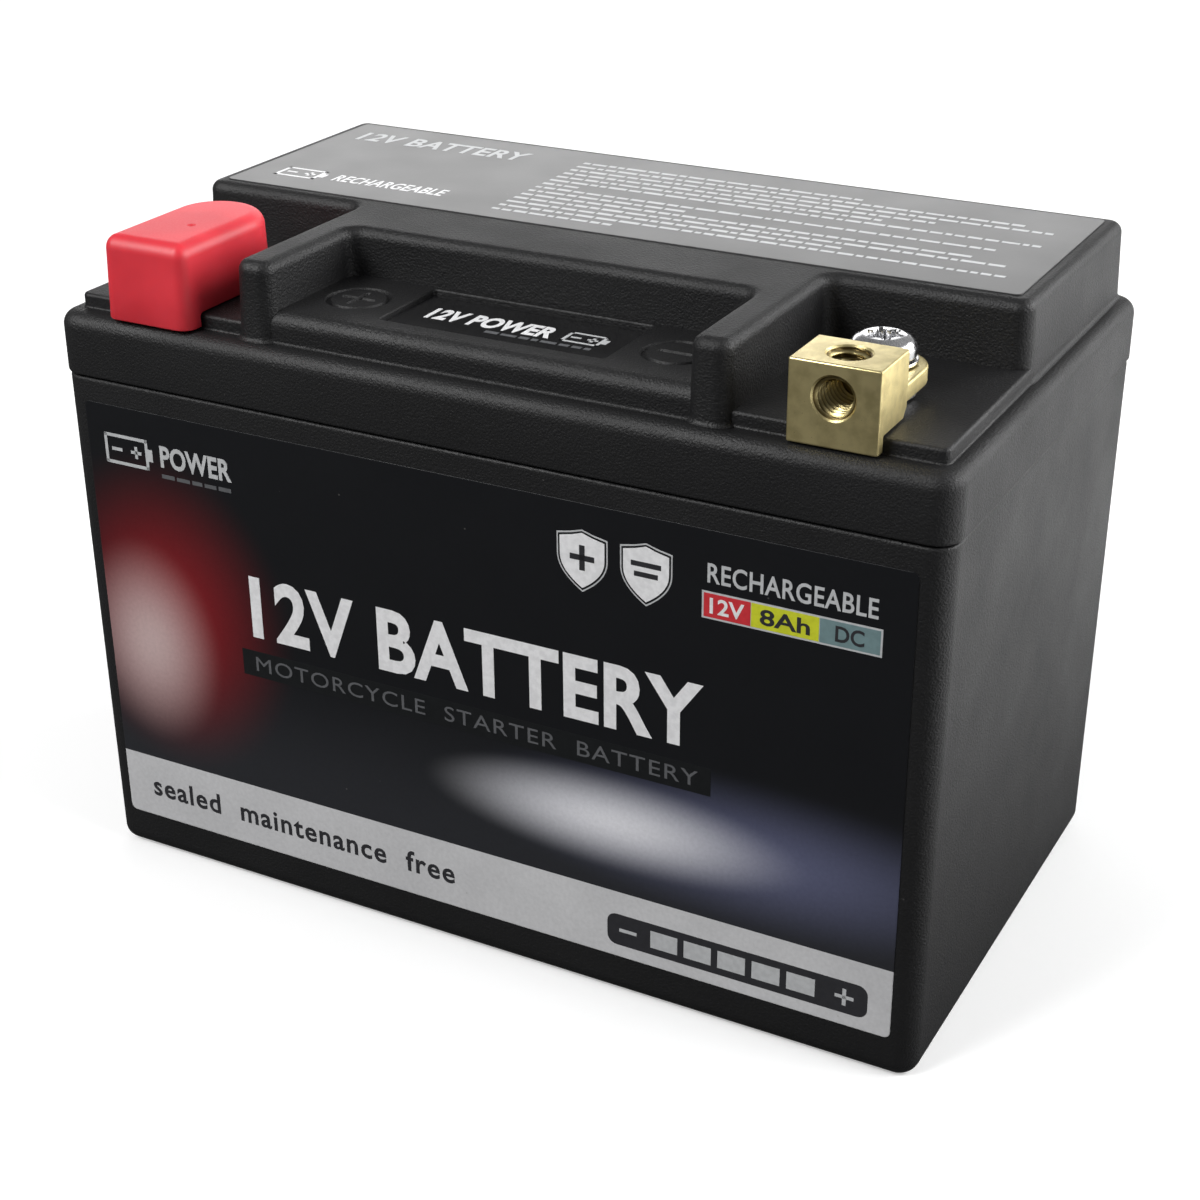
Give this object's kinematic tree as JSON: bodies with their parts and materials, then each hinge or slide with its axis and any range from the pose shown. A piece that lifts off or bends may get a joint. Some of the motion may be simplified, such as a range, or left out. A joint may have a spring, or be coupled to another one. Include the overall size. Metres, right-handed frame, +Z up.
{
  "type": "motorcycle battery",
  "caption": "Lithium motorcycle battery: drafted black case, stepped lid with two ribs, brass block terminals with top and front tapped holes, red cap on the positive, cell pack inside.",
  "frame": {"origin": "middle of the base, on the surface the battery stands on", "axes": "+X along the length towards the negative terminal, +Y from the labelled front to the back, +Z up"},
  "size_m": [0.15, 0.087, 0.1113],
  "materials": {
    "shell_plastic": "fine moulded grain, matte",
    "front_label_film": "satin printed film",
    "top_label_film": "gloss printed film",
    "inset_label_film": "high gloss",
    "terminal_brass": "machined faces, cast sides",
    "plated_steel": "bright plating",
    "cap_rubber": "soft moulded, satin",
    "seal_rubber": "matte",
    "cell_sleeve": "shrink sleeve",
    "tray_plastic": "moulded",
    "nickel_strip": "satin nickel",
    "copper_strap": "bare copper, satin",
    "board_laminate": "solder mask",
    "chip_plastic": "matte",
    "connector_plastic": "moulded nylon",
    "wire_jacket": "extruded",
    "foam": "closed-cell foam"
  },
  "bodies": {
    "battery": {"case": "shell_plastic", "lid": "shell_plastic", "front_label": "front_label_film", "top_label": "top_label_film", "inset_label": "inset_label_film", "positive_block": "terminal_brass", "positive_insert": "plated_steel", "positive_seal": "seal_rubber", "positive_strap": "copper_strap", "positive_plate": "nickel_strip", "negative_block": "terminal_brass", "negative_insert": "plated_steel", "negative_seal": "seal_rubber", "negative_strap": "copper_strap", "negative_plate": "nickel_strip", "cell_01": "cell_sleeve", "cell_02": "cell_sleeve", "cell_03": "cell_sleeve", "cell_04": "cell_sleeve", "cell_05": "cell_sleeve", "cell_06": "cell_sleeve", "cell_07": "cell_sleeve", "cell_08": "cell_sleeve", "cell_09": "cell_sleeve", "cell_10": "cell_sleeve", "cell_11": "cell_sleeve", "cell_12": "cell_sleeve", "lower_tray": "tray_plastic", "upper_tray": "tray_plastic", "lower_link_left": "nickel_strip", "lower_link_right": "nickel_strip", "middle_link": "nickel_strip", "balance_board": "board_laminate", "balance_chip": "chip_plastic", "sense_connector": "connector_plastic", "standoff_1": "tray_plastic", "board_screw_1": "plated_steel", "transistor_1": "chip_plastic", "standoff_2": "tray_plastic", "board_screw_2": "plated_steel", "transistor_2": "chip_plastic", "standoff_3": "tray_plastic", "board_screw_3": "plated_steel", "transistor_3": "chip_plastic", "standoff_4": "tray_plastic", "board_screw_4": "plated_steel", "transistor_4": "chip_plastic", "sense_wire_1": "wire_jacket", "sense_wire_2": "wire_jacket", "sense_wire_3": "wire_jacket", "base_foam": "foam", "left_end_foam": "foam", "right_end_foam": "foam", "top_foam": "foam"},
    "cap": {"terminal_cap": "cap_rubber"},
    "positive_washer_body": {"positive_washer": "plated_steel"},
    "positive_screw_body": {"positive_screw": "plated_steel"},
    "negative_washer_body": {"negative_washer": "plated_steel"},
    "negative_screw_body": {"negative_screw": "plated_steel"}
  },
  "joints": [
    {"name": "cap_lift", "type": "slide", "parent": "battery", "child": "cap", "axis": [0, 0, 1], "range_m": [0, 0.03]},
    {"name": "positive_screw_rise", "type": "slide", "parent": "battery", "child": "positive_washer_body", "axis": [0, 0, 1], "range_m": [0, 0.0012]},
    {"name": "positive_screw_turn", "type": "hinge", "parent": "positive_washer_body", "child": "positive_screw_body", "pos_m": [-0.0565, -0.024, 0.105], "axis": [0, 0, 1], "range_deg": [0, 540]},
    {"name": "negative_screw_rise", "type": "slide", "parent": "battery", "child": "negative_washer_body", "axis": [0, 0, 1], "range_m": [0, 0.008]},
    {"name": "negative_screw_turn", "type": "hinge", "parent": "negative_washer_body", "child": "negative_screw_body", "pos_m": [0.0565, -0.024, 0.105], "axis": [0, 0, 1], "range_deg": [0, 3600]}
  ],
  "couplings": [
    {"joint": "positive_screw_turn", "follows": "positive_screw_rise", "rad_per_m": 7854},
    {"joint": "negative_screw_turn", "follows": "negative_screw_rise", "rad_per_m": 7854}
  ]
}
